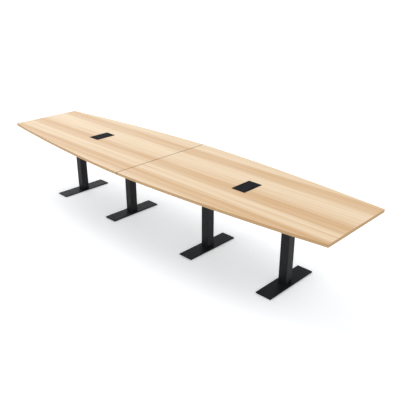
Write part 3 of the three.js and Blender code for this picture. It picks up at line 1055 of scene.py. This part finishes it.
class TABLE_OT_sockets(bpy.types.Operator):
    """Socket panels with their outlets, ports, contacts and screws"""

    bl_idname = "table.sockets"
    bl_label = "Sockets"

    panel_radius = 0.3 * MM
    screw_inset = 8 * MM
    lip = MM  # height of an insert's edge that is rounded
    lip_radius = 0.5 * MM
    port_y = 15 * MM  # from the middle of the block
    network_x = -11.6 * MM
    charging_x = 8.5 * MM
    contacts = 8
    contact_pitch = 1.02 * MM
    contact_half = (0.5 * MM, 0.2 * MM)
    contact_depths = (11 * MM, 3 * MM)
    tongue_half = (0.9 * MM, 5.2 * MM)
    tongue_depths = (13.4 * MM, 2.5 * MM)
    metal_radius = 0.08 * MM

    def execute(self, context):
        for hand in HANDS:
            self.panel(hand)
            for row in ROWS:
                self.insert(f"outlet_{row}_{hand}", f"mains_socket_{row}_{hand}")
            self.insert(f"data_ports_{hand}", f"port_block_{hand}")
            self.port_metal(hand)
        return {"FINISHED"}

    def panel(self, hand):
        """The plate that holds the sockets, and the screws on its face."""
        node_name = f"socket_panel_{hand}"
        mesh = node_mesh(node_name)
        ease(mesh, self.panel_radius)
        make_piece(mesh, f"socket_plate_{hand}", TABLE, "black_plastic", [node_name])
        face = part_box(node_name)[1].z
        screws = bmesh.new()
        for x, y in screw_spots(node_name, self.screw_inset):
            pan_screw(screws, Matrix.Translation((x, y, face)))
        make_piece(screws, f"socket_screws_{hand}", TABLE, "zinc_steel")

    def insert(self, node_name, name):
        """An outlet or port block with a rounded lip."""
        low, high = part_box(node_name)

        def on_lip(edge):
            spot = edge_middle(edge)
            return min(side_gaps(spot, low, high)) < ON_FACE and spot.z > high.z - self.lip

        mesh = node_mesh(node_name)
        ease(mesh, self.lip_radius, on_lip)
        make_piece(mesh, name, TABLE, "grey_plastic", [node_name])

    def port_metal(self, hand):
        """Sprung contacts in the network ports and a tongue in each charging port."""
        centre = middle(f"data_ports_{hand}")
        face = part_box(f"data_ports_{hand}")[1].z
        mesh = bmesh.new()

        def bar(x, y, half, depths):
            spot = Vector((centre.x + x, centre.y + y, face))
            reach_x, reach_y = half
            deep, shallow = depths
            block(mesh, spot - Vector((reach_x, reach_y, deep)), spot + Vector((reach_x, reach_y, -shallow)))

        for y in (-self.port_y, self.port_y):
            for index in range(self.contacts):
                along = y + (index - (self.contacts - 1) / 2) * self.contact_pitch
                bar(self.network_x, along, self.contact_half, self.contact_depths)
            bar(self.charging_x, y, self.tongue_half, self.tongue_depths)
        ease(mesh, self.metal_radius)
        make_piece(mesh, f"port_contacts_{hand}", TABLE, "zinc_steel")


# Stage

class TABLE_OT_stage(bpy.types.Operator):
    """White floor, soft studio light and the camera"""

    bl_idname = "table.stage"
    bl_label = "Stage"

    floor_colour = (0.975, 0.985, 1.0, 1)
    floor_roughness = 0.9
    floor_reach = 150  # metres from the middle to each side
    floor_drop = 0.2 * MM  # below the glides
    floor_contact = 50 * MM  # the lift fades where a piece is nearer than this
    lamp_softness = math.radians(40)
    lamps = {  # each lamp's strength setting, and the direction it shines from
        "high_left": ("left", (-0.70, 0.12, 0.71)),
        "high_right": ("right", (0.58, 0.16, 0.80)),
        "front_fill": ("fill", (-0.35, -1.0, 0.45)),
        "back_sheen": ("sheen", (-0.85, 0.40, 0.26)),
    }
    sensor_width = 36  # millimetres

    def execute(self, context):
        scene = context.scene
        settings = scene.table_stage
        scene.view_settings.view_transform = "Standard"
        self.world(scene, settings)
        self.floor(scene, settings)
        for name, (strength, source) in self.lamps.items():
            self.lamp(scene, name, getattr(settings, strength), source)
        self.camera(scene, settings)
        return {"FINISHED"}

    def seen(self, tree):
        """1 for rays that show the backdrop: straight to the camera, mirrored or through glass."""
        path = node(tree, "LightPath").outputs
        mirrored = math_node(tree, "MAXIMUM", path["Is Glossy Ray"], path["Is Transmission Ray"])
        return math_node(tree, "MAXIMUM", path["Is Camera Ray"], mirrored)

    def world(self, scene, settings):
        """Even light from all round, and a white backdrop."""
        world = bpy.data.worlds.new("studio")
        world.use_nodes = True
        tree = world.node_tree
        light = tree.nodes["Background"]
        light.inputs["Color"].default_value = WHITE
        light.inputs["Strength"].default_value = settings.sky
        white = node(tree, "Background", {"Color": WHITE, "Strength": 1.0})
        both = node(tree, "MixShader", {0: self.seen(tree), 1: light.outputs[0], 2: white.outputs[0]})
        tree.links.new(both.outputs[0], tree.nodes["World Output"].inputs["Surface"])
        scene.world = world

    def floor(self, scene, settings):
        """A matt floor that is lifted to white where it is open, and keeps the table's shadow."""
        made, tree, shader, _ = new_material("floor")
        shader.inputs["Base Color"].default_value = self.floor_colour
        shader.inputs["Roughness"].default_value = self.floor_roughness
        shader.inputs["Specular IOR Level"].default_value = 0
        shader.inputs["Emission Color"].default_value = WHITE
        bare = node(tree, "AmbientOcclusion", {"Distance": self.floor_contact}).outputs["AO"]
        glow = math_node(tree, "MULTIPLY", self.seen(tree), settings.floor_lift)
        lift = math_node(tree, "MULTIPLY", glow, bare)
        tree.links.new(lift, shader.inputs["Emission Strength"])
        mesh = bmesh.new()
        below = Matrix.Translation((0, 0, -self.floor_drop))
        bmesh.ops.create_grid(mesh, x_segments=1, y_segments=1, size=self.floor_reach, matrix=below)
        data = bpy.data.meshes.new("floor")
        mesh.to_mesh(data)
        mesh.free()
        data.materials.append(made)
        floor = bpy.data.objects.new("floor", data)
        scene.collection.objects.link(floor)

    def lamp(self, scene, name, strength, source):
        """A broad distant lamp that shines from a direction."""
        light = bpy.data.lights.new(name, "SUN")
        light.energy = strength
        light.angle = self.lamp_softness
        lamp = bpy.data.objects.new(name, light)
        lamp.rotation_euler = Vector(source).to_track_quat("Z", "Y").to_euler()
        scene.collection.objects.link(lamp)

    def camera(self, scene, settings):
        """The camera, turned to its heading and tilted down."""
        level = math.cos(settings.tilt)
        ahead = Vector((
            math.cos(settings.heading) * level, math.sin(settings.heading) * level, -math.sin(settings.tilt)))
        data = bpy.data.cameras.new("camera")
        data.sensor_width = self.sensor_width
        data.lens = settings.lens
        camera = bpy.data.objects.new("camera", data)
        camera.location = settings.camera
        camera.rotation_euler = ahead.to_track_quat("-Z", "Y").to_euler()
        scene.collection.objects.link(camera)
        scene.camera = camera


class TABLE_PT_pieces(bpy.types.Panel):
    """Settings and pieces of the table"""

    bl_idname = "TABLE_PT_pieces"
    bl_label = "Conference table"
    bl_space_type = "VIEW_3D"
    bl_region_type = "UI"
    bl_category = "Table"

    def draw(self, context):
        layout = self.layout
        for name, group in SETTINGS.items():
            box = layout.box()
            for key in group.__annotations__:
                box.prop(getattr(context.scene, name), key)
        for operator in OPERATORS:
            layout.operator(operator.bl_idname)


SETTINGS = {
    "table_top": TopSettings,
    "table_legs": LegSettings,
    "table_power": PowerSettings,
    "table_stage": StageSettings,
}
OPERATORS = (
    TABLE_OT_top, TABLE_OT_joining_plates, TABLE_OT_columns, TABLE_OT_foot_plates, TABLE_OT_brackets,
    TABLE_OT_foot_bolts, TABLE_OT_glides, TABLE_OT_power_frames, TABLE_OT_lids, TABLE_OT_back_boxes,
    TABLE_OT_cable_glands, TABLE_OT_hinge_pins, TABLE_OT_sockets, TABLE_OT_stage)


def register():
    """Registers the settings, operators and panel."""
    for group in (*SETTINGS.values(), *OPERATORS, TABLE_PT_pieces):
        bpy.utils.register_class(group)
    for name, group in SETTINGS.items():
        setattr(bpy.types.Scene, name, PointerProperty(type=group))


def unregister():
    """Takes the settings, operators and panel out again."""
    for name in SETTINGS:
        delattr(bpy.types.Scene, name)
    for group in (TABLE_PT_pieces, *reversed(OPERATORS), *reversed(SETTINGS.values())):
        bpy.utils.unregister_class(group)


def main():
    """Makes every piece and the stage."""
    register()
    bpy.ops.table.top()
    bpy.ops.table.joining_plates()
    bpy.ops.table.columns()
    bpy.ops.table.foot_plates()
    bpy.ops.table.brackets()
    bpy.ops.table.foot_bolts()
    bpy.ops.table.glides()
    bpy.ops.table.power_frames()
    bpy.ops.table.lids()
    bpy.ops.table.back_boxes()
    bpy.ops.table.cable_glands()
    bpy.ops.table.hinge_pins()
    bpy.ops.table.sockets()
    bpy.ops.table.stage()


if __name__ == "__main__":
    main()
